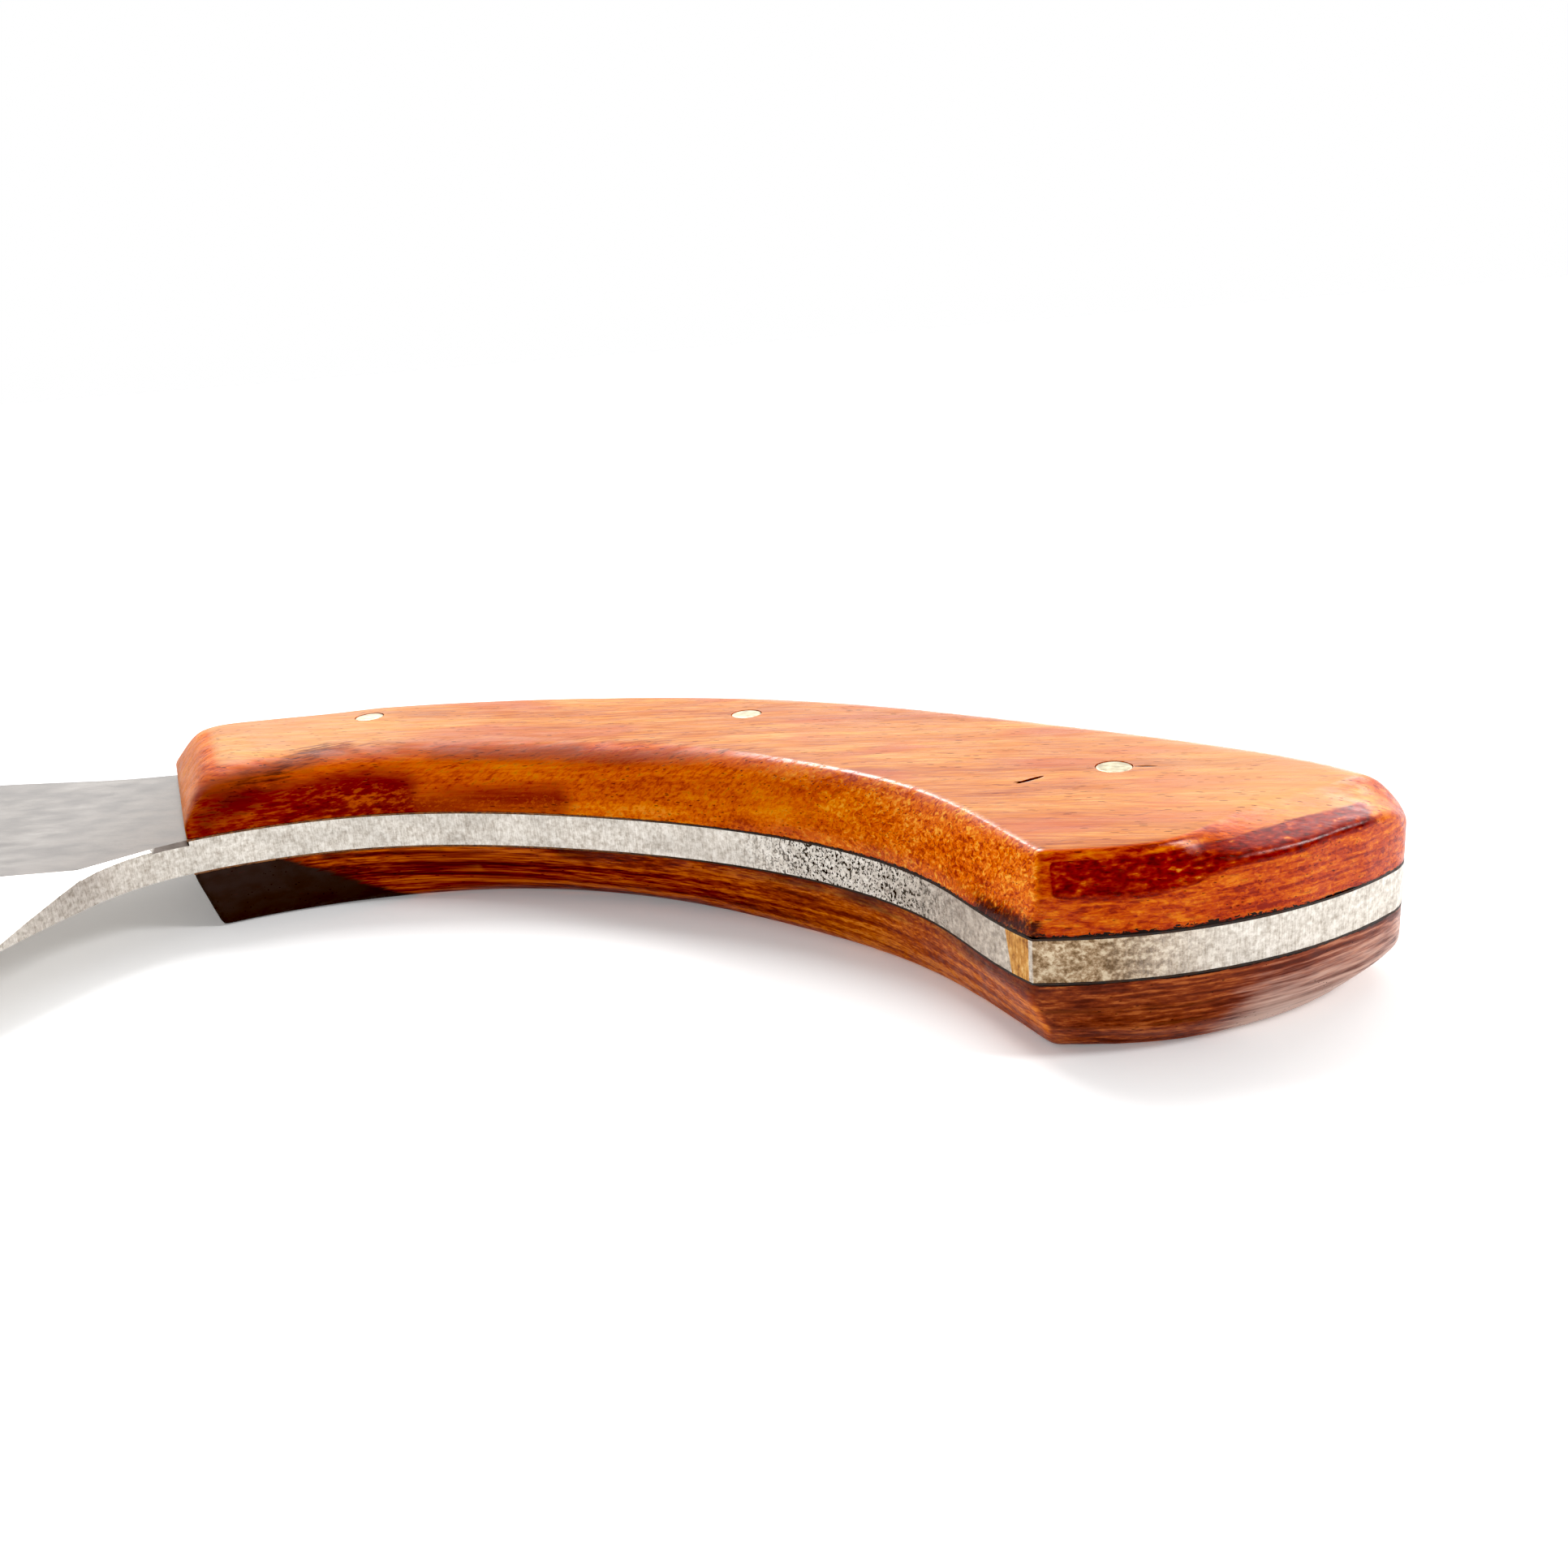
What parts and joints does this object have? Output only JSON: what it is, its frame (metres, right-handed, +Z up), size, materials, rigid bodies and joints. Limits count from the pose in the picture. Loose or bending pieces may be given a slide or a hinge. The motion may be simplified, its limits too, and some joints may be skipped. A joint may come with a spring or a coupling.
{
  "type": "hand sickle",
  "caption": "Short hand sickle: curved full-tang blade with a single ground bevel, between two shaped wooden scales held by glue and flush pins.",
  "frame": {"origin": "on the middle pin's axis, in the plane that the tool rests on (underside of the lower scale)", "axes": "+X from the blade towards the butt of the handle, -Y towards the finger side and the cutting edge, +Z up from the lower scale to the upper scale"},
  "size_m": [0.1719, 0.1695, 0.0171],
  "materials": {
    "steel": "satin, brushed, lightly stained",
    "upper_wood": "oiled, polished by use",
    "lower_wood": "oiled, polished by use",
    "glue": "matte",
    "pin_metal": "sanded flush",
    "inlay_metal": "dull"
  },
  "bodies": {
    "root": {"blade": "steel", "corner_inlay": "inlay_metal", "upper_scale": "upper_wood", "lower_scale": "lower_wood", "upper_glue_line": "glue", "lower_glue_line": "glue", "pin_front": "pin_metal", "pin_middle": "pin_metal", "pin_rear": "pin_metal"}
  },
  "joints": []
}
